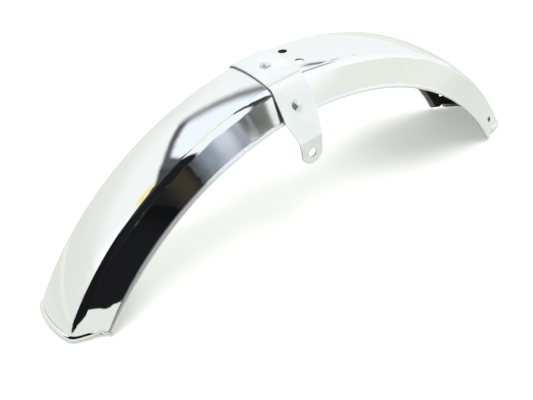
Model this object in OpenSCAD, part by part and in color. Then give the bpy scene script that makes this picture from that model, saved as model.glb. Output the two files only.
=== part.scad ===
// Front mudguard for a light motorcycle: a chromed steel blade with rolled edges,
// and a strip bracket riveted over its crown with two legs that bolt to the fork.
// Millimetres. X runs from the front end (-) to the rear end (+), Y across, Z up.
// The blade stands as an arch on the rolls of its two ends, with the floor at Z = 0.

/* [Blade] */
// Radius from the wheel axle to the centre line of each side hem
hem_radius = 265; // [245:1:285]
// Height of the section, from a hem's centre line to the outside of the crown
section_height = 30.8; // [28:0.2:36]
// Width between the outsides of the two side walls at the hems
hem_width = 81; // [74:1:90]
// Angle by which each side wall spreads toward its hem
wall_lean = 22; // [16:0.5:26]
// Outside radius of the crown, across the blade
crown_radius = 131; // [110:1:160]
// Outside radius of the shoulders between crown and side walls
shoulder_radius = 5; // [4:0.25:8]
// Thickness of the blade's sheet
sheet = 1; // [0.8:0.1:1.4]
// Angle from the top of the arch to where each hem ends
half_arc = 59.4; // [50:0.2:64]
// Slope of the cut across each end, with the crown's edge lower than the hems
end_slope = 6.6; // [3:0.2:10]

/* [Rolled edges] */
// Diameter of the rolled hem along each side wall
hem_roll = 3.8; // [3:0.1:4.4]
// Diameter of the roll across each end
end_roll = 6; // [5:0.25:7]
// Height by which the end roll stands proud of the outside of the sheet
end_proud = 1.8; // [1.2:0.1:2.2]
// Length of the end roll on each side wall, from the shoulder down
end_roll_reach = 9; // [6:0.5:12]

/* [Bracket] */
// Angle from the top of the arch to the middle of the bracket, toward the rear
bracket_at = -5.4; // [-8:0.1:-4]
// Width of the strip over the crown and of the legs down to the hems
strip_width = 34; // [30:0.5:38]
// Thickness of the bracket's steel
strip = 1.6; // [1.2:0.1:2]
// Length of each leg, from the shoulder to its lower bend
leg_length = 50; // [46:0.5:56]
// Length of each leg that keeps the full width
leg_straight = 28; // [24:0.5:32]
// Width of each leg at its lower bend
leg_end_width = 24; // [22:0.5:28]
// Inner radius of the lower bend between a leg and its tab
tab_bend = 3; // [2:0.25:5]
// Length of each tab, from its bend to the centre of its bolt hole
tab_length = 12; // [10:0.5:16]
// Width of each tab, which is also the diameter of its round tip
tab_width = 22; // [20:0.5:26]
// Bore of the bolt hole in each tab
tab_hole = 8.5; // [6.5:0.1:10.5]
// Clearance between the bracket and the blade where they meet
seat_gap = 0.3; // [0.2:0.05:0.4]

/* [Rivets] */
// Diameter of the rivet heads
rivet_head = 10; // [8:0.25:11]
// Height of the rivet heads
rivet_rise = 2.8; // [2:0.1:3.4]
// Diameter of the rivet shanks
rivet_shank = 4.8; // [4:0.1:5.4]
// Diameter of the closed tails inside the blade
rivet_tail = 7; // [6.4:0.1:8]
// Thickness of the closed tails
tail_rise = 1.6; // [1.2:0.1:2]
// Clearance round the shanks and under the heads and tails
rivet_gap = 0.25; // [0.15:0.05:0.3]
// Distance of the side rivets from the shoulder, down each leg
side_rivet_at = 18; // [16:0.5:20]

/* [Holes in the blade] */
// Bore of the two holes through the crown
crown_hole = 8.2; // [6:0.1:10]
// Distance between the two crown holes, across the blade
crown_hole_pitch = 24; // [20:0.5:28]
// Angle from the top of the arch to the two crown holes, toward the rear
crown_hole_at = 0; // [-1:0.1:2]
// Bore of the stay hole in each side wall near the rear end
stay_hole = 6; // [5:0.1:8]
// Angle from the hems' ends back to the stay holes
stay_hole_inset = 2.2; // [1.6:0.1:6]
// Height of the stay holes above the hems' centre lines
stay_hole_height = 14.5; // [13:0.5:17]

/* [Hidden] */
$fn = 48;
turn_fn = 96;
roll_fn = 24;
far = 400;
chrome = [0.86, 0.87, 0.88];
zinc = [0.72, 0.75, 0.77];
steel = [0.6, 0.6, 0.62];

// Section of the blade in (y, r): the crown's circle, the shoulder's circle and the wall's line,
// each tangent to the next. wall_n is the wall's outward normal, wall_up runs up the wall.
crown_top = hem_radius + section_height;
crown_mid = crown_top - crown_radius;
wall_n = [cos(wall_lean), sin(wall_lean)];
wall_up = [-sin(wall_lean), cos(wall_lean)];
hem = [hem_width / 2, hem_radius];
base = hem - shoulder_radius * wall_n;
base_off = base - [0, crown_mid];
base_run = base_off * wall_up;
shoulder = base
  + (-base_run + sqrt(base_run ^ 2 - base_off * base_off + (crown_radius - shoulder_radius) ^ 2)) * wall_up;
crown_n = (shoulder - [0, crown_mid]) / norm(shoulder - [0, crown_mid]);
crown_a = atan2(crown_n[1], crown_n[0]);

// Centre of the hem's roll: its inside is flush with the inside of the wall
hem_roll_at = hem + (hem_roll / 2 - sheet) * wall_n;

// End cuts: a flat plane through the hem's end, (u, w) = along the plane and above it
roll_drop = end_roll / 2 - end_proud;
function plane_u(r, w) = let (b = hem_radius * sin(half_arc - end_slope))
  -b + sqrt(b ^ 2 - hem_radius ^ 2 - 2 * w * hem_radius * cos(half_arc - end_slope) - w ^ 2 + r ^ 2);
roll_w = end_roll / 2;
roll_top = [0, plane_u(crown_top - roll_drop, roll_w)];
corner_n = (wall_n + crown_n) / norm(wall_n + crown_n);
corner_at = shoulder + (shoulder_radius - roll_drop) * corner_n;
roll_corner = [corner_at[0], plane_u(corner_at[1], roll_w)];
wall_at = shoulder + (shoulder_radius - roll_drop) * wall_n - end_roll_reach * wall_up;
roll_end = [wall_at[0], plane_u(wall_at[1], roll_w)];
roll_sag = roll_top[1] - roll_corner[1];
roll_arc = (roll_corner[0] ^ 2 + roll_sag ^ 2) / (2 * roll_sag);

// Height of the wheel axle: the lowest points of the end rolls touch the floor
axle_z = -(hem_radius * cos(half_arc) - roll_top[1] * sin(end_slope) + roll_w * cos(end_slope) - roll_w);

// Legs: tangent to the shoulder's seat and to the hem's roll, each with its clearance
leg_span = shoulder - hem_roll_at;
leg_flare = atan2(-leg_span[0], leg_span[1]) - asin((shoulder_radius - hem_roll / 2) / norm(leg_span));
leg_n = [cos(leg_flare), sin(leg_flare)];
leg_down = [sin(leg_flare), -cos(leg_flare)];
leg_seat = shoulder_radius + seat_gap;
leg_top = shoulder + leg_seat * leg_n;
tab_mid = leg_top + leg_length * leg_down - tab_bend * leg_n;
tab_hole_z = tab_mid[1] - tab_length;

// Side rivets: along the leg's normal, with the tail just inside the wall
rivet_root = leg_top + side_rivet_at * leg_down;
wall_run = (rivet_root - hem) * wall_n;
side_grip = (wall_run + sheet) / cos(leg_flare - wall_lean) + strip
  + rivet_tail / 2 * tan(leg_flare - wall_lean);
crown_grip = seat_gap + strip + sheet;

module about_axle() {
  translate([0, 0, axle_z]) rotate([90, 0, 0]) children();
}

module at_angle(a) {
  translate([0, 0, axle_z]) rotate([0, a, 0]) children();
}

function arc(mid, r, from, to, n) = [for (i = [0:n]) mid + r * [cos(from + (to - from) * i / n),
  sin(from + (to - from) * i / n)]];
function mirrored(path) = [for (i = [len(path) - 1:-1:0]) [-path[i][0], path[i][1]]];
function flipped(path) = [for (i = [len(path) - 1:-1:0]) path[i]];

// Right half of the sheet's face, set in by e: up from the wall, over the shoulder, to the crown's middle
function sheet_face(e) = concat(
  arc(shoulder, shoulder_radius - e, wall_lean, crown_a, 8),
  arc([0, crown_mid], crown_radius - e, crown_a, 90, 10)
);

// Right hem's roll, from the inside of the wall round the bottom to the outside of the wall
function hem_face() = arc(hem_roll_at, hem_roll / 2, wall_lean + 180,
  wall_lean + 360 + acos(1 - 2 * (hem_roll - sheet) / hem_roll), 20);

// Closed outline of the blade's sheet with its two rolled hems, in (y, r)
function blade_outline() = concat(
  hem_face(),
  sheet_face(0),
  mirrored(sheet_face(0)),
  mirrored(hem_face()),
  flipped(mirrored(sheet_face(sheet))),
  flipped(sheet_face(sheet))
);

module turned(reach) {
  about_axle() rotate([0, 0, 90 - reach]) rotate_extrude(angle = 2 * reach, $fn = turn_fn) children();
}

// Frame of the rear end's cut: X down the cut, Z into the blade
module rear_cut() {
  at_angle(0) translate([hem_radius * sin(half_arc), 0, hem_radius * cos(half_arc)])
    rotate([0, end_slope, 0]) children();
}

module both_ends() {
  children();
  mirror([1, 0, 0]) children();
}

module end_roll_solid() {
  translate([0, 0, roll_w]) {
    translate([roll_top[1] - roll_arc, 0, 0]) rotate([0, 0, -asin(roll_corner[0] / roll_arc)])
      rotate_extrude(angle = 2 * asin(roll_corner[0] / roll_arc), $fn = turn_fn)
        translate([roll_arc, 0]) circle(d = end_roll, $fn = roll_fn);
    for (s = [-1, 1]) {
      translate([roll_corner[1], s * roll_corner[0], 0]) sphere(d = end_roll, $fn = roll_fn);
      translate([roll_end[1], s * roll_end[0], 0])
        rotate([0, 0, atan2(s * (roll_corner[0] - roll_end[0]), roll_corner[1] - roll_end[1])])
          rotate([0, 90, 0]) cylinder(d = end_roll, h = norm(roll_corner - roll_end), $fn = roll_fn);
    }
  }
}

// What the end cut takes away: all below the plane, and the sheet inside the roll
module end_waste() {
  translate([-100, -far / 2, -far]) cube([far, far, far]);
  translate([roll_end[1], -far / 2, -1]) cube([far, far, 0.75 * roll_w + 1]);
}

module blade() {
  reach = half_arc + 8;
  color(chrome) difference() {
    union() {
      difference() {
        turned(reach) polygon([for (q = blade_outline()) [q[1], -q[0]]]);
        both_ends() rear_cut() end_waste();
      }
      both_ends() rear_cut() end_roll_solid();
    }
    at_angle(crown_hole_at) for (s = [-1, 1])
      translate([0, s * crown_hole_pitch / 2, crown_top - 20]) cylinder(d = crown_hole, h = 40);
    at_angle(half_arc - stay_hole_inset) for (s = [-1, 1])
      translate([0, s * (hem[0] + stay_hole_height * wall_up[0] / wall_up[1]), hem_radius + stay_hole_height])
        rotate([-s * (90 - wall_lean), 0, 0]) cylinder(d = stay_hole, h = 20, center = true);
    at_angle(bracket_at) {
      translate([0, 0, crown_top - 10]) cylinder(d = rivet_shank + 2 * rivet_gap, h = 20);
      for (s = [-1, 1]) side_axis(s) translate([0, 0, -10])
        cylinder(d = rivet_shank + 2 * rivet_gap, h = 20);
    }
  }
}

// Right half of the bracket's face, moved out by e: up from the tab's tip to the crown's middle
function strip_face(e) = concat(
  [[tab_mid[0] + tab_bend + e, tab_hole_z - tab_width]],
  arc(tab_mid, tab_bend + e, 0, leg_flare, 6),
  arc(shoulder, leg_seat + e, leg_flare, crown_a, 8),
  arc([0, crown_mid], crown_radius + seat_gap + e, crown_a, 90, 10)
);

// Closed outline of the bracket's strip, in (y, r)
function strip_outline() = concat(
  strip_face(strip),
  mirrored(strip_face(strip)),
  flipped(mirrored(strip_face(0))),
  flipped(strip_face(0))
);

// Outline of strip, leg and tab seen from the side, with the tab's round tip
function side_outline() = let (
  leg_z = leg_top[1] + leg_straight * leg_down[1],
  bend_z = leg_top[1] + leg_length * leg_down[1]
) concat(
  arc([0, tab_hole_z], tab_width / 2, 180, 360, 24),
  [
    [leg_end_width / 2, bend_z],
    [strip_width / 2, leg_z],
    [strip_width / 2, crown_top + 20],
    [-strip_width / 2, crown_top + 20],
    [-strip_width / 2, leg_z],
    [-leg_end_width / 2, bend_z]
  ]
);

module bracket() {
  color(zinc) at_angle(bracket_at) difference() {
    intersection() {
      rotate([90, 0, 90]) translate([0, 0, -strip_width])
        linear_extrude(2 * strip_width) polygon(strip_outline());
      rotate([90, 0, 0]) translate([0, 0, -far / 2]) linear_extrude(far) polygon(side_outline());
    }
    translate([0, far / 2, tab_hole_z]) rotate([90, 0, 0]) cylinder(d = tab_hole, h = far);
    translate([0, 0, crown_top - 10]) cylinder(d = rivet_shank + 2 * rivet_gap, h = 20);
    for (s = [-1, 1]) side_axis(s) translate([0, 0, -10])
      cylinder(d = rivet_shank + 2 * rivet_gap, h = 20);
  }
}

// Axis of a side rivet: Z runs out of the leg's outer face, s = 1 at +Y
module side_axis(s) {
  p = rivet_root + strip * leg_n;
  translate([0, s * p[0], p[1]]) rotate([-s * (90 - leg_flare), 0, 0]) children();
}

// Rivet with its head's seat at Z = 0: domed head, shank and closed tail below the grip
module rivet(grip) {
  ball = (rivet_head ^ 2 / 4 + rivet_rise ^ 2) / (2 * rivet_rise);
  translate([0, 0, rivet_gap]) {
    intersection() {
      translate([0, 0, rivet_rise - ball]) sphere(r = ball);
      cylinder(d = rivet_head + 2, h = rivet_rise + 1);
    }
  }
  translate([0, 0, -grip - rivet_gap - tail_rise / 2])
    cylinder(d = rivet_shank, h = grip + 2 * rivet_gap + tail_rise / 2 + 0.5);
  translate([0, 0, -grip - rivet_gap - tail_rise]) cylinder(d = rivet_tail, h = tail_rise);
}

module crown_rivet() {
  color(steel) at_angle(bracket_at) translate([0, 0, crown_top + seat_gap + strip]) rivet(crown_grip);
}

module left_rivet() {
  color(steel) at_angle(bracket_at) side_axis(-1) rivet(side_grip);
}

module right_rivet() {
  color(steel) at_angle(bracket_at) side_axis(1) rivet(side_grip);
}

blade();
bracket();
crown_rivet();
left_rivet();
right_rivet();
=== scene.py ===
import bpy
from math import sin, cos, asin, acos, atan2, sqrt, radians, pi, hypot
from mathutils import Vector, Matrix, kdtree

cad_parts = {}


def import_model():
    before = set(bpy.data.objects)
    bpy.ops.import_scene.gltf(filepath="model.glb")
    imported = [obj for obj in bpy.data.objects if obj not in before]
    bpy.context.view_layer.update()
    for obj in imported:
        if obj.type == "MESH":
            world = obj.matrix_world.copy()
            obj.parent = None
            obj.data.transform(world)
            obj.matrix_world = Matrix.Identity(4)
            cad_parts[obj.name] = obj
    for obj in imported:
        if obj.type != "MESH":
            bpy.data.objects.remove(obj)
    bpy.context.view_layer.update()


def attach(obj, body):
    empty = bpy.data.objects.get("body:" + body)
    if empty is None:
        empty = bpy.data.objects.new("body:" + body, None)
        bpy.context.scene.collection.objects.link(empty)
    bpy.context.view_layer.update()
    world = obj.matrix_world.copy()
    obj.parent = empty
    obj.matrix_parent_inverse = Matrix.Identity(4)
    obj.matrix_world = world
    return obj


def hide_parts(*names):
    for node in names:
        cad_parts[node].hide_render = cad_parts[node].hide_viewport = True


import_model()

MM = 0.001

# Sizes in mm, and angles. They are the part's own, apart from two changes: the shoulders and the
# end rolls are softer and fuller here, and the legs are fitted to these shoulders, so that the
# tabs, their holes and the side rivets stay where the part has them.
HEM_R, HEM_W, LEAN = 265.0, 81.0, radians(22)
CROWN_R, SHOULDER_R, SHEET = 131.0, 9.0, 1.0
CROWN_TOP = 295.8
HALF_ARC, SLOPE = radians(59.4), radians(6.6)
HEM_ROLL, END_ROLL, PROUD, REACH = 3.8, 7.0, 1.8, 14.0
BRACKET_AT = radians(-5.4)
STRIP_W, STRIP, GAP = 34.0, 1.6, 0.3
LEG, STRAIGHT, LEG_END = 47.96, 26.0, 24.0
TAB_BEND, TAB_LONG, TAB_W, TAB_HOLE = 3.0, 12.38, 22.0, 8.5
HEAD, RISE, SHANK, TAIL, TAIL_RISE, RIVET_GAP = 10.0, 2.8, 4.8, 7.0, 1.6, 0.25
SIDE_RIVET = 16.4
CROWN_HOLE, PITCH = 8.2, 24.0
STAY_HOLE, STAY_AT, STAY_H = 6.0, radians(57.2), 14.5
AXLE = -130.94845  # height of the wheel's axle; the part stands on z = 0

# Steps of the meshes
HEM_STEPS, WALL_STEPS, SHOULDER_STEPS, CROWN_STEPS = 18, 7, 12, 16
SWEEP_STEPS = 250
ROUND = 64


def add(a, b, k=1.0):
    return (a[0] + k * b[0], a[1] + k * b[1])


def unit(a):
    n = hypot(a[0], a[1])
    return (a[0] / n, a[1] / n)


def dot(a, b):
    return a[0] * b[0] + a[1] * b[1]


# Section of the blade in (y, r), derived as in the part's source
CROWN_MID = CROWN_TOP - CROWN_R
WALL_N = (cos(LEAN), sin(LEAN))
WALL_UP = (-sin(LEAN), cos(LEAN))
HEM = (HEM_W / 2, HEM_R)
base = add(HEM, WALL_N, -SHOULDER_R)
off = add(base, (0, CROWN_MID), -1)
run = dot(off, WALL_UP)
rest = sqrt(run**2 - dot(off, off) + (CROWN_R - SHOULDER_R) ** 2)
SHOULDER = add(base, WALL_UP, -run + rest)
CROWN_A = atan2(SHOULDER[1] - CROWN_MID, SHOULDER[0])
HEM_AT = add(HEM, WALL_N, HEM_ROLL / 2 - SHEET)
ROLL_W = END_ROLL / 2
DROP = END_ROLL / 2 - PROUD


def plane_u(r, w):
    """Distance along the end's plane, from the hem up, to the surface of radius r, w above it."""
    b = HEM_R * sin(HALF_ARC - SLOPE)
    return -b + sqrt(b**2 - HEM_R**2 - 2 * w * HEM_R * cos(HALF_ARC - SLOPE) - w**2 + r**2)


# The end's round band: its arc over the crown, its corner and its lower end, in the end's plane
ROLL_TOP = (0, plane_u(CROWN_TOP - DROP, ROLL_W))
corner_n = unit(add(WALL_N, (cos(CROWN_A), sin(CROWN_A))))
corner = add(SHOULDER, corner_n, SHOULDER_R - DROP)
ROLL_CORNER = (corner[0], plane_u(corner[1], ROLL_W))
wall_at = add(add(SHOULDER, WALL_N, SHOULDER_R - DROP), WALL_UP, -REACH)
ROLL_END = (wall_at[0], plane_u(wall_at[1], ROLL_W))
sag = ROLL_TOP[1] - ROLL_CORNER[1]
ROLL_ARC = (ROLL_CORNER[0] ** 2 + sag**2) / (2 * sag)

# The bracket's leg, tangent to the shoulder and clear of the hem
span = add(SHOULDER, HEM_AT, -1)
FLARE = atan2(-span[0], span[1]) - asin((SHOULDER_R - HEM_ROLL / 2) / hypot(*span))
LEG_N = (cos(FLARE), sin(FLARE))
LEG_DOWN = (sin(FLARE), -cos(FLARE))
LEG_TOP = add(SHOULDER, LEG_N, SHOULDER_R + GAP)
TAB_MID = add(add(LEG_TOP, LEG_DOWN, LEG), LEG_N, -TAB_BEND)
TAB_HOLE_Z = TAB_MID[1] - TAB_LONG
RIVET_ROOT = add(LEG_TOP, LEG_DOWN, SIDE_RIVET)
wall_run = dot(add(RIVET_ROOT, HEM, -1), WALL_N)
lean_in = FLARE - LEAN
tail_lean = TAIL / 2 * (sin(lean_in) / cos(lean_in))
SIDE_GRIP = (wall_run + SHEET) / cos(lean_in) + STRIP + tail_lean
CROWN_GRIP = GAP + STRIP + SHEET


def world(x, y, z, a):
    """A point given about the axle, turned by a, in metres in the shared frame."""
    return Vector((x * cos(a) + z * sin(a), y, -x * sin(a) + z * cos(a) + AXLE)) * MM


def arc(mid, r, start, stop, n):
    """Points of an arc with their outward normals."""
    out = []
    for i in range(n + 1):
        a = start + (stop - start) * i / n
        out.append(((mid[0] + r * cos(a), mid[1] + r * sin(a)), (cos(a), sin(a))))
    return out


def between(p, q, t):
    return (p[0] + (q[0] - p[0]) * t, p[1] + (q[1] - p[1]) * t)


def straight(p, q, n, normal):
    """Points inside a line, without its ends."""
    return [(between(p, q, i / n), normal) for i in range(1, n)]


def mirrored(path):
    return [((-p[0], p[1]), (-m[0], m[1])) for p, m in reversed(path)]


def turned_in(path):
    return [(p, (-m[0], -m[1])) for p, m in reversed(path)]


def section(fine):
    """The blade's closed outline in (y, r), with normals, as its outer face and its inner one.

    The outer face starts with the right hem and ends with the left one. The inner face runs back.
    """
    hem_end = LEAN + 2 * pi + acos(1 - 2 * (HEM_ROLL - SHEET) / HEM_ROLL)
    hem = arc(HEM_AT, HEM_ROLL / 2, LEAN + pi, hem_end, HEM_STEPS * fine)
    faces = []
    for e in (0, SHEET):
        over = arc(SHOULDER, SHOULDER_R - e, LEAN, CROWN_A, SHOULDER_STEPS * fine)
        top = arc((0, CROWN_MID), CROWN_R - e, CROWN_A, pi / 2, CROWN_STEPS * fine)
        foot = hem[-1][0] if e == 0 else hem[0][0]
        faces.append(straight(foot, over[0][0], WALL_STEPS * fine, WALL_N) + over + top[1:])
    right, inner = hem + faces[0], faces[1]
    return right + mirrored(right)[1:], turned_in(mirrored(inner)) + turned_in(inner)[1:]


def link(name, verts, faces, smooth=True):
    m = bpy.data.meshes.new(name)
    m.from_pydata([tuple(v) for v in verts], [], faces)
    m.validate()
    m.update()
    if smooth:
        m.shade_smooth()
    o = bpy.data.objects.new(name, m)
    bpy.context.scene.collection.objects.link(o)
    return o


def end_point(u, w):
    """A point of the end's plane, u along it and w above it, as (x, z) about the axle."""
    return (HEM_R * sin(HALF_ARC) + u * cos(SLOPE) + w * sin(SLOPE),
            HEM_R * cos(HALF_ARC) - u * sin(SLOPE) + w * cos(SLOPE))


def end_angle(r, w):
    """Angle from the arch's top at which the surface of radius r is w above the end's plane."""
    return atan2(*end_point(plane_u(r, w), w))


def blade_mesh():
    """The sheet, swept over the arch and closed at both ends."""
    under_roll = 0.75 * ROLL_W  # the sheet ends inside the end roll where there is one
    outer, inside = section(1)
    ring = outer + inside
    k, n_out = len(ring), len(outer)
    verts, faces = [], []
    for i in range(SWEEP_STEPS + 1):
        for (y, r), _ in ring:
            w = under_roll if plane_u(r, 0) > ROLL_END[1] else 0.0
            verts.append(world(0, y, r, end_angle(r, w) * (2 * i / SWEEP_STEPS - 1)))
    for i in range(SWEEP_STEPS):
        for j in range(k):
            a, b = i * k + j, i * k + (j + 1) % k
            faces.append((a, a + k, b + k, b))
    # the two end faces: the sheet as a strip, each hem's roll as a fan
    last = n_out - 1 - HEM_STEPS
    for s, flip in ((0, False), (SWEEP_STEPS * k, True)):
        caps = []
        for j in range(HEM_STEPS, last):
            across = k - j + HEM_STEPS
            inner_a = across if j > HEM_STEPS else 0
            inner_b = across - 1 if j < last - 1 else n_out - 1
            caps.append((s + j, s + j + 1, s + inner_b, s + inner_a))
        caps.append(tuple(s + j for j in range(HEM_STEPS + 1)))
        caps.append(tuple(s + j for j in range(last, n_out)))
        for c in caps:
            faces.append(c if flip else tuple(reversed(c)))
    return link("blade_sheet", verts, faces)


def circle(at, axis, r, h):
    """Points of a circle about an axis, h along it."""
    axis = axis.normalized()
    side = axis.orthogonal().normalized()
    up = axis.cross(side)
    turns = [2 * pi * i / ROUND for i in range(ROUND)]
    return [at + axis * h + side * (r * cos(a)) + up * (r * sin(a)) for a in turns]


def cylinder(name, at, axis, r, length):
    verts = circle(at, axis, r, -length / 2) + circle(at, axis, r, length / 2)
    faces = []
    for i in range(ROUND):
        j = (i + 1) % ROUND
        faces.append((i, j, ROUND + j, ROUND + i))
    faces.append(tuple(reversed(range(ROUND))))
    faces.append(tuple(range(ROUND, 2 * ROUND)))
    return link(name, verts, faces, smooth=False)


def baked(o, tools):
    """Cuts the tools out of o and keeps the result as o's own mesh."""
    for t in tools:
        b = o.modifiers.new("cut", "BOOLEAN")
        b.operation, b.solver, b.object = "DIFFERENCE", "EXACT", t
    bpy.context.view_layer.update()
    done = bpy.data.meshes.new_from_object(o.evaluated_get(bpy.context.evaluated_depsgraph_get()))
    o.modifiers.clear()
    o.data = done
    for t in tools:
        bpy.data.objects.remove(t)
    return o


def true_normals(o):
    """Gives the sheet's faces their exact normals, so that reflections run past the holes.

    Returns the faces on the blade's inside, and those on the hems.
    """
    fine, near, alike, most = 12, 0.05, 0.8, 2
    outer, inside = section(fine)
    points = outer + inside
    tree = kdtree.KDTree(len(points))
    for i, (p, _) in enumerate(points):
        tree.insert((p[0], p[1], 0), i)
    tree.balance()
    m = o.data
    spot = []
    for v in m.vertices:
        x, y, z = v.co / MM
        z -= AXLE
        spot.append((y, hypot(x, z), atan2(x, z)))
    normals, inner_faces, hem_faces = [], [], []
    n_hem, n_out = HEM_STEPS * fine, len(outer)
    for f in m.polygons:
        found = on_hem = 0
        for li in f.loop_indices:
            y, r, a = spot[m.loops[li].vertex_index]
            _, i, gap = tree.find((y, r, 0))
            ny, nr = points[i][1]
            n = Vector((nr * sin(a), ny, nr * cos(a)))
            good = gap < near and n.dot(f.normal) > alike
            found += i >= n_out
            on_hem += i < n_hem or n_out - n_hem <= i < n_out
            normals.append(n if good else f.normal.copy())
        if found > most:
            inner_faces.append(f.index)
        elif on_hem > most:
            hem_faces.append(f.index)
    m.shade_smooth()
    m.normals_split_custom_set([tuple(n) for n in normals])
    return inner_faces, hem_faces


def sweep(name, path, full, taper):
    """A round bar of radius full along a path of points, rounded off over taper at its ends."""
    n, least = 32, 0.02
    k = len(path)
    length = [0.0]
    for a, b in zip(path, path[1:]):
        length.append(length[-1] + (b - a).length)
    verts, faces = [], []
    for i, p in enumerate(path):
        t = (path[min(i + 1, k - 1)] - path[max(i - 1, 0)]).normalized()
        side = t.cross(Vector((0, 0, 1))).normalized()
        high = side.cross(t)
        near = min(length[i], length[-1] - length[i])
        r = full if near >= taper else full * max(sqrt(1 - (1 - near / taper) ** 2), least)
        for j in range(n):
            a = 2 * pi * j / n
            verts.append(p + side * (r * cos(a)) + high * (r * sin(a)))
    for i in range(k - 1):
        for j in range(n):
            a, b = i * n + j, i * n + (j + 1) % n
            faces.append((a, b, b + n, a + n))
    faces.append(tuple(reversed(range(n))))
    faces.append(tuple(range((k - 1) * n, k * n)))
    return link(name, verts, faces)


def end_roll(name, side):
    """The thick rolled band along an end; side is 1 at the rear."""
    top_steps, leg_steps, bend_steps = 40, 24, 12
    half = asin(ROLL_CORNER[0] / ROLL_ARC)
    turns = [half * (i / top_steps - 1) for i in range(2 * top_steps + 1)]
    top = [(ROLL_ARC * sin(a), ROLL_TOP[1] - ROLL_ARC + ROLL_ARC * cos(a)) for a in turns]
    leg = [between(ROLL_END, ROLL_CORNER, i / leg_steps) for i in range(leg_steps)]
    # a bend takes the place of the corner, from the leg's 8th last point to the top's 5th last
    a, b, c = leg[-8], ROLL_CORNER, top[-5]
    bend = []
    for t in [i / bend_steps for i in range(bend_steps + 1)]:
        ka, kb, kc = (1 - t) ** 2, 2 * t * (1 - t), t**2
        bend.append((ka * a[0] + kb * b[0] + kc * c[0], ka * a[1] + kb * b[1] + kc * c[1]))
    right = leg[:-8] + bend + list(reversed(top[top_steps:-5]))
    path = []
    for y, u in right + [(-p[0], p[1]) for p in reversed(right[:-1])]:
        x, z = end_point(u, ROLL_W)
        path.append(Vector((side * x, y, z + AXLE)) * MM)
    # a hair thinner than the solid's band, so that it stays inside the part's box
    return sweep(name, path, ROLL_W * MM * 0.999, taper=2 * ROLL_W * MM)


def bracket_mesh():
    """The strip over the crown and down both sides, with its tapered legs and round tabs."""
    tip_steps, tab_steps, bend_steps = 24, 8, 10
    leg_steps, shoulder_steps, crown_steps, across = 40, 14, 24, 8
    face = []
    for e in (STRIP, 0):
        path = []
        y = TAB_MID[0] + TAB_BEND + e
        for i in range(tip_steps + 1):
            path.append((y, TAB_HOLE_Z - TAB_W / 2 * cos(pi / 2 * i / tip_steps)))
        for i in range(1, tab_steps):
            path.append((y, TAB_HOLE_Z + (TAB_MID[1] - TAB_HOLE_Z) * i / tab_steps))
        path += [p for p, _ in arc(TAB_MID, TAB_BEND + e, 0, FLARE, bend_steps)]
        over = arc(SHOULDER, SHOULDER_R + GAP + e, FLARE, CROWN_A, shoulder_steps)
        top = arc((0, CROWN_MID), CROWN_R + GAP + e, CROWN_A, pi / 2, crown_steps)
        path += [p for p, _ in straight(path[-1], over[0][0], leg_steps, LEG_N) + over + top[1:]]
        path += [(-q[0], q[1]) for q in reversed(path[:-1])]
        face.append(path)
    leg_z = LEG_TOP[1] + STRAIGHT * LEG_DOWN[1]
    bend_z = LEG_TOP[1] + LEG * LEG_DOWN[1]

    def half(r):
        """Half the strip's width at the radius r."""
        if r >= leg_z:
            return STRIP_W / 2
        if r >= bend_z:
            return LEG_END / 2 + (STRIP_W - LEG_END) / 2 * (r - bend_z) / (leg_z - bend_z)
        if r >= TAB_HOLE_Z:
            return TAB_W / 2 + (LEG_END - TAB_W) / 2 * (r - TAB_HOLE_Z) / (bend_z - TAB_HOLE_Z)
        return sqrt(max((TAB_W / 2) ** 2 - (r - TAB_HOLE_Z) ** 2, 0))

    least = 0.05
    n, c = len(face[0]), across + 1
    back = n * c
    verts, faces = [], []
    for path in face:
        for y, r in path:
            w = max(half(r), least)
            for j in range(c):
                verts.append(world(w * (2 * j / across - 1), y, r, BRACKET_AT))
    for i in range(n - 1):
        for j in range(across):
            a = i * c + j
            faces.append((a, a + 1, a + 1 + c, a + c))
            faces.append((back + a, back + a + c, back + a + 1 + c, back + a + 1))
        a, b = i * c, i * c + across
        faces.append((a, a + c, back + a + c, back + a))
        faces.append((b, back + b, back + b + c, b + c))
    for j in range(across):
        a, b = j, (n - 1) * c + j
        faces.append((a, back + a, back + a + 1, a + 1))
        faces.append((b, b + 1, back + b + 1, back + b))
    return link("bracket_strip", verts, faces)


def lathe(name, profile, at, axis):
    """A turned piece: profile is (radius, height) along the axis, in mm, from the top down."""
    verts, faces = [], []
    for r, h in profile:
        verts += circle(at, axis, r * MM, h * MM)
    for k in range(len(profile) - 1):
        for i in range(ROUND):
            j, a, b = (i + 1) % ROUND, k * ROUND, (k + 1) * ROUND
            faces.append((a + i, b + i, b + j, a + j))
    faces.append(tuple(range(ROUND)))
    faces.append(tuple(reversed(range((len(profile) - 1) * ROUND, len(profile) * ROUND))))
    return link(name, verts, faces)


def rivet(name, at, axis, grip):
    """A rivet through the sheets; at is on the strip's face, and axis points out of it."""
    dome, dome_steps, rim = 0.82 * HEAD / 2, 20, RIVET_GAP + 0.45
    ball = (HEAD**2 / 4 + RISE**2) / (2 * RISE)
    wide, slim, foot = HEAD / 2, TAIL / 2, -grip - RIVET_GAP
    profile = []
    for i in range(dome_steps + 1):
        t = asin(dome / ball) * i / dome_steps
        profile.append((max(ball * sin(t), 0.02), RIVET_GAP + RISE - ball + ball * cos(t)))
    # the set's groove round the dome, the rim, the shank and the closed tail
    profile += [(0.83 * wide, rim + 0.12), (0.86 * wide, rim), (wide - 0.2, rim - 0.04),
                (wide, rim - 0.2), (wide - 0.15, RIVET_GAP), (SHANK / 2, RIVET_GAP),
                (SHANK / 2, foot), (slim - 0.2, foot), (slim, foot - 0.2),
                (slim, foot - TAIL_RISE + 0.5), (slim - 0.5, foot - TAIL_RISE)]
    return lathe(name, profile, at, axis)


def smooth_by_angle(o, angle):
    o.data.shade_smooth()
    o.data.set_sharp_from_angle(angle=radians(angle))


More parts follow.
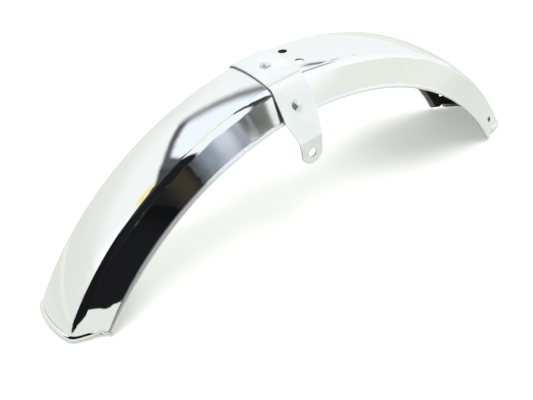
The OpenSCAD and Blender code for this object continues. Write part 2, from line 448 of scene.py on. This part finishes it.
# The blade
sheet = blade_mesh()
crown_cut, stay_cut = 0.03, 0.02  # lengths of the drills
stay_y, stay_r = HEM[0] + STAY_H * WALL_UP[0] / WALL_UP[1], HEM_R + STAY_H
cuts = []
for s in (-1, 1):
    at = world(0, s * PITCH / 2, CROWN_TOP - 5, 0)
    cuts.append(cylinder("crown_cut", at, Vector((0, 0, 1)), CROWN_HOLE / 2 * MM, crown_cut))
    at = world(0, s * stay_y, stay_r, STAY_AT)
    axis = Vector((WALL_N[1] * sin(STAY_AT), s * WALL_N[0], WALL_N[1] * cos(STAY_AT)))
    cuts.append(cylinder("stay_cut", at, axis, STAY_HOLE / 2 * MM, stay_cut))
baked(sheet, cuts)
inner_faces, hem_faces = true_normals(sheet)
rolls = [end_roll("front_roll", -1), end_roll("rear_roll", 1)]

# The bracket and its rivets
strip = bracket_mesh()
hole = world(0, 0, TAB_HOLE_Z, BRACKET_AT)
baked(strip, [cylinder("tab_cut", hole, Vector((0, 1, 0)), TAB_HOLE / 2 * MM, 0.2)])
soft_edge = strip.modifiers.new("edge", "BEVEL")
soft_edge.width, soft_edge.segments = 0.22 * MM, 3
soft_edge.limit_method, soft_edge.angle_limit = "ANGLE", radians(50)
smooth_by_angle(strip, 40)
out = world(0, 0, 400, BRACKET_AT) - world(0, 0, 300, BRACKET_AT)
crown_at = world(0, 0, CROWN_TOP + GAP + STRIP, BRACKET_AT)
rivets = [rivet("rivet_crown", crown_at, out, CROWN_GRIP)]
for s, name in ((-1, "rivet_left"), (1, "rivet_right")):
    p = add(RIVET_ROOT, LEG_N, STRIP)
    q = add(p, LEG_N, 100)
    at = world(0, s * p[0], p[1], BRACKET_AT)
    rivets.append(rivet(name, at, world(0, s * q[0], q[1], BRACKET_AT) - at, SIDE_GRIP))
for o in rivets:
    smooth_by_angle(o, 35)


# Materials
class Graph:
    """Short words for building a node tree."""

    def __init__(self, tree):
        self.nt = tree

    def node(self, kind, **values):
        n = self.nt.nodes.new(kind)
        for k, v in values.items():
            setattr(n, k, v)
        return n

    def put(self, socket, value):
        if isinstance(value, bpy.types.NodeSocket):
            self.nt.links.new(value, socket)
        else:
            socket.default_value = value

    def math(self, op, a, b=0.0, c=0.0):
        n = self.node("ShaderNodeMath", operation=op)
        for s, v in zip(n.inputs, (a, b, c)):
            self.put(s, v)
        return n.outputs[0]

    def times(self, *values):
        out = values[0]
        for v in values[1:]:
            out = self.math("MULTIPLY", out, v)
        return out

    def dot(self, v, w):
        n = self.node("ShaderNodeVectorMath", operation="DOT_PRODUCT")
        self.put(n.inputs[0], v)
        n.inputs[1].default_value = w
        return n.outputs["Value"]

    def rise(self, value, low, high, to=1.0):
        n = self.node("ShaderNodeMapRange", interpolation_type="SMOOTHSTEP")
        self.put(n.inputs["Value"], value)
        n.inputs["From Min"].default_value, n.inputs["From Max"].default_value = low, high
        n.inputs["To Max"].default_value = to
        return n.outputs["Result"]

    def mix(self, mask, a, b):
        n = self.node("ShaderNodeMix", data_type="RGBA")
        self.put(n.inputs["Factor"], mask)
        for s, v in ((n.inputs[6], a), (n.inputs[7], b)):
            self.put(s, v if isinstance(v, bpy.types.NodeSocket) else (*v, 1))
        return n.outputs[2]

    def noise(self, vector, scale, detail=3.0, rough=0.5, distort=0.0):
        n = self.node("ShaderNodeTexNoise")
        self.put(n.inputs["Vector"], vector)
        n.inputs["Scale"].default_value, n.inputs["Detail"].default_value = scale, detail
        n.inputs["Roughness"].default_value, n.inputs["Distortion"].default_value = rough, distort
        return n.outputs["Fac"]

    def stretched(self, vector, x, y, z):
        n = self.node("ShaderNodeMapping")
        self.put(n.inputs["Vector"], vector)
        n.inputs["Scale"].default_value = (x, y, z)
        return n.outputs["Vector"]

    def bump(self, height, strength, distance, normal=None):
        n = self.node("ShaderNodeBump")
        self.put(n.inputs["Height"], height)
        n.inputs["Strength"].default_value, n.inputs["Distance"].default_value = strength, distance
        if normal is not None:
            self.put(n.inputs["Normal"], normal)
        return n.outputs["Normal"]


def surface(name, color, rough, metal):
    """A new material with its graph, shader and object coordinates."""
    m = bpy.data.materials.new(name)
    m.use_nodes = True
    g = Graph(m.node_tree)
    b = m.node_tree.nodes["Principled BSDF"]
    for k, v in (("Base Color", color), ("Roughness", rough), ("Metallic", metal)):
        b.inputs[k].default_value = (*v, 1) if isinstance(v, tuple) else v
    return m, g, b, g.node("ShaderNodeTexCoord").outputs["Object"]


def chrome_material(name, dull):
    """Bright plating: a mirror with faint waves of the pressed sheet, polishing haze and wipes."""
    m, g, b, spot = surface(name, (0.90, 0.905, 0.91), 0.03, 1.0 - 1.6 * dull)
    haze = g.noise(spot, 26, 4, 0.6)
    wipe = g.noise(g.stretched(spot, 30, 260, 30), 4, 3, 0.6)
    rough = g.math("MULTIPLY_ADD", g.rise(haze, 0.42, 0.75), 0.035 + dull / 4, 0.022 + dull)
    g.put(b.inputs["Roughness"], g.math("MULTIPLY_ADD", g.rise(wipe, 0.55, 0.8), 0.02, rough))
    color = g.mix(g.rise(haze, 0.5, 0.9), (0.905, 0.91, 0.915), (0.87, 0.88, 0.88))
    g.put(b.inputs["Base Color"], color)
    waves = g.bump(g.noise(spot, 14, 1, 0.3), 1.0, 0.22 * MM)
    g.put(b.inputs["Normal"], g.bump(wipe, 0.2, 0.006 * MM, waves))
    return m


def inside_shade_material():
    """The unpolished inside of the blade: painted shade, a near-black grey that stands in for the
    shade in the arch, with darker stains and brown specks.
    """
    m, g, b, spot = surface("inside", (0.05, 0.05, 0.045), 0.55, 0.2)
    stain = g.noise(spot, 30, 5, 0.65)
    color = g.mix(g.rise(stain, 0.35, 0.7), (0.055, 0.054, 0.048), (0.02, 0.019, 0.016))
    specks = g.rise(g.noise(spot, 300, 3), 0.62, 0.7)
    g.put(b.inputs["Base Color"], g.mix(specks, color, (0.06, 0.035, 0.02)))
    g.put(b.inputs["Roughness"], g.math("MULTIPLY_ADD", stain, 0.2, 0.45))
    b.inputs["Specular IOR Level"].default_value = 0.2
    g.put(b.inputs["Normal"], g.bump(g.noise(spot, 420, 3), 0.4, 0.04 * MM))
    return m


def zinc_material():
    """Bright zinc plating: faintly bluish, in soft cells, over the strip's rolling marks."""
    m, g, b, spot = surface("zinc", (0.88, 0.92, 0.93), 0.25, 0.45)
    cells = g.noise(spot, 150, 4, 0.6, 0.8)
    tint = g.noise(spot, 45, 3, 0.5, 0.4)
    color = g.mix(g.rise(tint, 0.38, 0.66), (0.80, 0.85, 0.86), (0.885, 0.90, 0.875))
    color = g.mix(g.rise(cells, 0.35, 0.75, 0.3), color, (0.95, 0.96, 0.97))
    g.put(b.inputs["Base Color"], color)
    g.put(b.inputs["Roughness"], g.math("MULTIPLY_ADD", cells, 0.14, 0.05))
    lines = g.noise(g.stretched(spot, 900, 40, 40), 1, 3, 0.6)
    g.put(b.inputs["Normal"], g.bump(lines, 0.35, 0.02 * MM, g.bump(cells, 0.4, 0.04 * MM)))
    return m


def rivet_material():
    """Plated steel with the set's small dents and darker grime in them."""
    m, g, b, spot = surface("steel", (0.85, 0.86, 0.87), 0.25, 0.8)
    dents = g.noise(spot, 520, 3, 0.6)
    grime = g.rise(dents, 0.45, 0.75)
    g.put(b.inputs["Base Color"], g.mix(grime, (0.88, 0.89, 0.90), (0.62, 0.62, 0.62)))
    g.put(b.inputs["Roughness"], g.math("MULTIPLY_ADD", dents, 0.25, 0.12))
    g.put(b.inputs["Normal"], g.bump(dents, 0.5, 0.06 * MM))
    return m


chrome, rolled = chrome_material("chrome", 0.0), chrome_material("rolled_edge", 0.26)
# the blade's inside material is painted shade: near black for the shade in the arch
inside, zinc, steel = inside_shade_material(), zinc_material(), rivet_material()


def dress(o, m, slot, *nodes):
    o.data.materials.clear()
    o.data.materials.append(m)
    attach(o, "root")
    if nodes:
        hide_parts(*nodes)


dress(sheet, chrome, "blade_chrome", "blade")
# the inner faces take the inside's painted shade, and the hem faces the duller chrome
for i, (m, found) in enumerate(((inside, inner_faces), (rolled, hem_faces))):
    sheet.data.materials.append(m)
    for f in found:
        sheet.data.polygons[f].material_index = i + 1
for o in rolls:
    dress(o, chrome, "blade_chrome")
dress(strip, zinc, "bracket_zinc", "bracket")
for o, n in zip(rivets, ("crown_rivet", "left_rivet", "right_rivet")):
    dress(o, steel, "rivet_steel", n)


# Stage
# The room that the chrome reflects, as patches laid over each other: colour, strength, and the
# planes through the object that bound the patch, each (a, b, c, softness)
ROOM = [
    # the pale backdrop, duller below and brighter at its top
    ((0.80, 0.83, 0.785), 0.9, [(0, 0.25, -1, 0.3), (0, 1, 0, 0.2)]),
    ((1.02, 1.04, 1.03), 0.8, [(0, -0.62, 1, 0.14), (0, 1, 0, 0.1)]),
    # the white right half of the room, the duller low wall before it, and its far end
    ((1.06, 1.08, 1.08), 1.0,
     [(1, 0.42, 0, 0.04), (0.12, 0.10, 1, 0.05), (1, -1.9, 0.3, 0.2)]),
    ((0.87, 0.905, 0.84), 1.0,
     [(1, 0.41, 0, 0.02), (-0.03, -0.155, -1, 0.02), (0, -1, 0, 0.15)]),
    ((0.98, 1.01, 1.02), 0.9, [(0.2, 1, 0, 0.3), (1, -0.25, 0, 0.2)]),
    # the dark side of the room, left of the lamps
    ((0.010, 0.010, 0.011), 1.0, [(-1, -0.16, -0.40, 0.012), (-1, -2.05, 0, 0.02)]),
    # the dark top over the backdrop's edge, and a dim strip in it
    ((0.014, 0.014, 0.016), 1.0,
     [(-1, -0.16, -0.40, 0.02), (0.93, -0.70, 1, 0.015), (-1, -0.2, 0, 0.03)]),
    ((0.07, 0.075, 0.08), 0.95,
     [(0.93, -0.72, 1, 0.02), (-1.05, -0.90, 1, 0.07), (0, 1, 0, 0.01)]),
    ((0.12, 0.14, 0.13), 0.9,
     [(-0.33, -0.87, 1, 0.015), (0.33, 1.00, -1, 0.015), (1, -1.05, 0, 0.04),
      (-1, 2.4, 0, 0.05)]),
    # dim things in the dark side: a brown panel, a blue one, three thin uprights
    ((0.050, 0.043, 0.030), 0.9,
     [(-1, -0.10, -0.3, 0.02), (1, 0.02, 0.1, 0.03), (0, -0.40, -1, 0.1), (0, -1, 0, 0.05)]),
    ((0.020, 0.027, 0.034), 0.9,
     [(-1, 0.12, -0.2, 0.02), (1, -0.34, 0.1, 0.03), (0, -0.3, -1, 0.05), (0, -1, 0, 0.05)]),
    ((0.11, 0.12, 0.13), 0.8,
     [(-1, 0.205, -0.5, 0.003), (1, -0.215, 0.5, 0.003), (0, -0.3, -1, 0.05),
      (0, -1, 0, 0.05)]),
    ((0.08, 0.07, 0.05), 0.8,
     [(-1, 0.055, 0.4, 0.004), (1, -0.068, -0.4, 0.004), (0, -0.5, -1, 0.05),
      (0, -1, 0, 0.05)]),
    ((0.10, 0.10, 0.09), 0.8,
     [(-1, -0.115, -0.1, 0.004), (1, 0.10, 0.1, 0.004), (0, -0.3, -1, 0.05),
      (0, -1, 0, 0.05)]),
    # a white lamp at the left, with a warm glow on its edge
    ((1.08, 1.10, 1.12), 1.0,
     [(-1, -1.50, 0, 0.06), (1, 2.07, 0, 0.015), (0.28, -0.175, 1, 0.03),
      (-0.831, 0.519, -1, 0.03)]),
    ((1.05, 0.86, 0.22), 0.95,
     [(0.153, 0.882, -0.410, 0.02), (-0.153, -0.882, 0.480, 0.02), (1, 0, 0.93, 0.03),
      (-1, 0, -0.67, 0.03)]),
    # the bluish lamp over the object, in its two parts, and the dimmer things under it
    ((0.96, 1.03, 1.13), 1.0,
     [(1, 0.10, 0.33, 0.02), (0.95, -0.88, 1, 0.03), (-1.35, -1.10, 1, 0.08),
      (0, 1, 0, 0.01)]),
    ((0.96, 1.03, 1.13), 1.0, [(1, 0.16, 0.40, 0.012), (-1, -0.30, 0.0, 0.02), (0, -1, 0, 0.01)]),
    ((0.16, 0.18, 0.22), 0.85,
     [(1, 0.17, 0.40, 0.02), (-1, -0.30, 0.0, 0.03), (0, -0.10, -1, 0.10), (0, -1, 0, 0.1)]),
    ((0.30, 0.35, 0.42), 0.8,
     [(1, 0.17, 0.2, 0.02), (-1, -0.21, -0.1, 0.02), (0, -0.22, -1, 0.05), (0, -1, 0, 0.1)]),
    ((0.15, 0.18, 0.21), 0.9,
     [(1, 0.11, 0, 0.02), (-1, -0.165, 0, 0.03), (0, -0.12, -1, 0.05), (0, -1, 0, 0.1)]),
    ((0.32, 0.35, 0.39), 0.9,
     [(1, 0.255, 0, 0.02), (-1, -0.31, 0, 0.01), (0, -0.15, -1, 0.06), (0, -1, 0, 0.1)]),
    # the gap between this lamp and the white half, with things in it
    ((0.06, 0.06, 0.055), 1.0,
     [(1, 0.30, 0, 0.012), (-1, -0.41, 0.08, 0.01), (0, 0.10, 1, 0.03), (0, -1, 0.15, 0.1)]),
    ((0.22, 0.23, 0.22), 0.9,
     [(1, 0.30, 0, 0.012), (-1, -0.415, 0.08, 0.004), (0, 0.12, 1, 0.03),
      (0, -0.50, -1, 0.2)]),
    ((0.42, 0.44, 0.45), 0.8,
     [(1, 0.315, -0.05, 0.004), (-1, -0.335, 0.05, 0.004), (0, 0.12, 1, 0.03),
      (0, -0.50, -1, 0.2)]),
    ((0.10, 0.105, 0.10), 0.8,
     [(1, 0.345, 0.04, 0.003), (-1, -0.36, -0.04, 0.006), (0, 0.12, 1, 0.03),
      (0, -0.50, -1, 0.2)]),
    # a dark bar with a thin warm tube straight above
    ((0.10, 0.10, 0.10), 0.9,
     [(0, 1, 0.035, 0.010), (0, -1, 0.11, 0.02), (1, 0, 0.34, 0.04), (-1, 0, 0.08, 0.05),
      (0, 0, 1, 0.1)]),
    ((1.05, 0.88, 0.25), 0.95,
     [(0, 1, 0.006, 0.006), (0, -1, 0.055, 0.006), (1, 0, 0.29, 0.02), (-1, 0, 0.02, 0.03),
      (0, 0, 1, 0.1)]),
]
WHITE, SOFT_LIGHT = (1.0, 1.0, 1.0), (0.42, 0.43, 0.43)


def room_light(name):
    """The room for the mirrors, an even soft light on the object, and white for the camera."""
    w = bpy.data.worlds.new(name)
    w.use_nodes = True
    g = Graph(w.node_tree)
    way = g.node("ShaderNodeTexCoord").outputs["Generated"]
    drift = g.math("MULTIPLY_ADD", g.noise(way, 9.0, 4.0, 0.6), 0.05, -0.025)
    walls = g.rise(g.noise(way, 1.6, 2.0), 0.3, 0.7)
    color = g.mix(walls, (0.85, 0.88, 0.83), (0.90, 0.925, 0.885))
    for tint, strength, planes in ROOM:
        mask = strength
        for a, b, c, soft in planes:
            k = 1 / sqrt(a * a + b * b + c * c)
            side = g.math("ADD", g.dot(way, (a * k, b * k, c * k)), drift)
            mask = g.times(mask, g.rise(side, -soft, soft))
        color = g.mix(mask, color, tint)
    path = g.node("ShaderNodeLightPath")
    color = g.mix(path.outputs["Is Diffuse Ray"], color, SOFT_LIGHT)
    color = g.mix(path.outputs["Is Camera Ray"], color, WHITE)
    bg = w.node_tree.nodes["Background"]
    g.put(bg.inputs["Color"], color)
    bg.inputs["Strength"].default_value = 1.0
    return w


bpy.context.scene.world = room_light("studio")

FLOOR_HALF = 4.0
PAPER, PAPER_MIRRORED, PAPER_DARK = (0.86, 0.87, 0.845), (0.86, 0.895, 0.83), (0.012, 0.012, 0.013)
# Glow of the paper: for the camera near the object, more in the band of the arch (painted light
# that lightens the object's shadow there) and far off, in the mirror far off, and for all other
# light far off
NEAR_GLOW, ARCH_PAINTED_LIGHT, FAR_GLOW, MIRROR_GLOW, OTHER_GLOW = 0.40, 0.24, 0.8, 0.92, 0.7


def floor_material():
    """White paper that takes the object's shadow, lit to white for the camera.

    In a mirror, the ground in front of the blade's front end is the dark side of the room.
    Lengths are metres on the floor.
    """
    m = bpy.data.materials.new("floor")
    m.use_nodes = True
    m.node_tree.nodes.clear()
    g = Graph(m.node_tree)
    out = g.node("ShaderNodeOutputMaterial")
    spot = g.node("ShaderNodeTexCoord").outputs["Object"]
    path = g.node("ShaderNodeLightPath")
    camera, mirror = path.outputs["Is Camera Ray"], path.outputs["Is Glossy Ray"]
    ripple = g.math("MULTIPLY_ADD", g.noise(spot, 38, 3), 0.05, -0.025)
    across, ahead = g.dot(spot, (1, 0, 0)), g.math("ADD", g.dot(spot, (0, 1, 0)), ripple)
    # the dark ground: before a bent border, left of a line, and beyond a line off the front end
    slant = g.times(g.math("MINIMUM", g.math("ADD", across, 0.27), 0.0), 0.49)
    step = g.math("MULTIPLY_ADD", g.rise(across, -0.25, -0.24), -0.02, -0.118)
    border = g.math("ADD", slant, step)
    before = g.rise(g.math("SUBTRACT", border, ahead), 0.0, 0.004)
    left = g.rise(g.dot(spot, (-1, -0.14, 0)), 0.10, 0.13)
    beyond = g.rise(g.math("ADD", g.dot(spot, (-0.508, -0.861, 0)), -0.155), 0.0, 0.03)
    dark = g.times(before, left, beyond, mirror)
    gap = g.node("ShaderNodeVectorMath", operation="LENGTH")
    g.put(gap.inputs[0], spot)
    far = g.rise(gap.outputs["Value"], 0.35, 0.9)
    paper = g.mix(far, g.mix(mirror, PAPER, PAPER_MIRRORED), (0.0, 0.0, 0.0))
    skin = g.node("ShaderNodeBsdfDiffuse")
    g.put(skin.inputs["Color"], g.mix(dark, paper, PAPER_DARK))
    glow = g.node("ShaderNodeEmission")
    glow.inputs["Color"].default_value = (0.965, 1.0, 0.93, 1)
    # painted light: a band across the arch where the paper glows more for the camera, lightening
    # the object's shadow
    under = g.times(g.rise(across, -0.24, -0.16), g.rise(across, 0.17, 0.05))
    near_white = g.math("MULTIPLY_ADD", under, ARCH_PAINTED_LIGHT, NEAR_GLOW)
    lit = g.times(camera, g.math("MULTIPLY_ADD", far, FAR_GLOW, near_white))
    seen = g.times(mirror, far, g.math("MULTIPLY_ADD", dark, -MIRROR_GLOW, MIRROR_GLOW))
    others = g.math("SUBTRACT", 1.0, g.math("ADD", camera, mirror))
    away = g.times(g.math("MAXIMUM", others, 0.0), far, OTHER_GLOW)
    g.put(glow.inputs["Strength"], g.math("ADD", g.math("ADD", lit, seen), away))
    both = g.node("ShaderNodeAddShader")
    g.put(both.inputs[0], skin.outputs[0])
    g.put(both.inputs[1], glow.outputs[0])
    g.put(out.inputs["Surface"], both.outputs[0])
    return m


corners = ((-1, -1), (1, -1), (1, 1), (-1, 1))
floor = link("floor", [(x * FLOOR_HALF, y * FLOOR_HALF, 0) for x, y in corners],
             [(0, 1, 2, 3)], smooth=False)
floor.data.materials.append(floor_material())

lamp = bpy.data.lights.new("top_lamp", "AREA")
lamp.shape, lamp.size, lamp.energy = "DISK", 0.9, 14
top_lamp = bpy.data.objects.new("top_lamp", lamp)
bpy.context.scene.collection.objects.link(top_lamp)
lamp_at = Vector((-0.10, -0.25, 1.5))
top_lamp.location = lamp_at
top_lamp.rotation_euler = (-lamp_at).to_track_quat("-Z", "Y").to_euler()
top_lamp.visible_glossy = False

# Camera, solved from the picture with the hem's radius as the unit, about a point over the floor
AZ, EL, ROLL = -0.620177, 0.638720, -0.0501518
AIM, AWAY, UNIT, LIFT = Vector((-0.1278185, 0, 0.0750654)), 3.346350, HEM_R * MM, 0.00414
LENS, SENSOR = 63.392, 36
back = Vector((sin(AZ) * cos(EL), -cos(AZ) * cos(EL), sin(EL)))
right = Vector((cos(AZ), sin(AZ), 0))
up = back.cross(right)
cx = right * cos(ROLL) + up * sin(ROLL)
cy = up * cos(ROLL) - right * sin(ROLL)
eye = (AIM + back * AWAY) * UNIT + Vector((0, 0, LIFT))
cam_data = bpy.data.cameras.new("camera")
cam_data.lens, cam_data.sensor_width, cam_data.sensor_fit = LENS, SENSOR, "HORIZONTAL"
cam_data.clip_start, cam_data.clip_end = 0.01, 50
cam = bpy.data.objects.new("camera", cam_data)
bpy.context.scene.collection.objects.link(cam)
cam.matrix_world = Matrix((*zip(cx, cy, back, eye), (0, 0, 0, 1)))
bpy.context.scene.camera = cam
bpy.context.scene.view_settings.view_transform = "Standard"
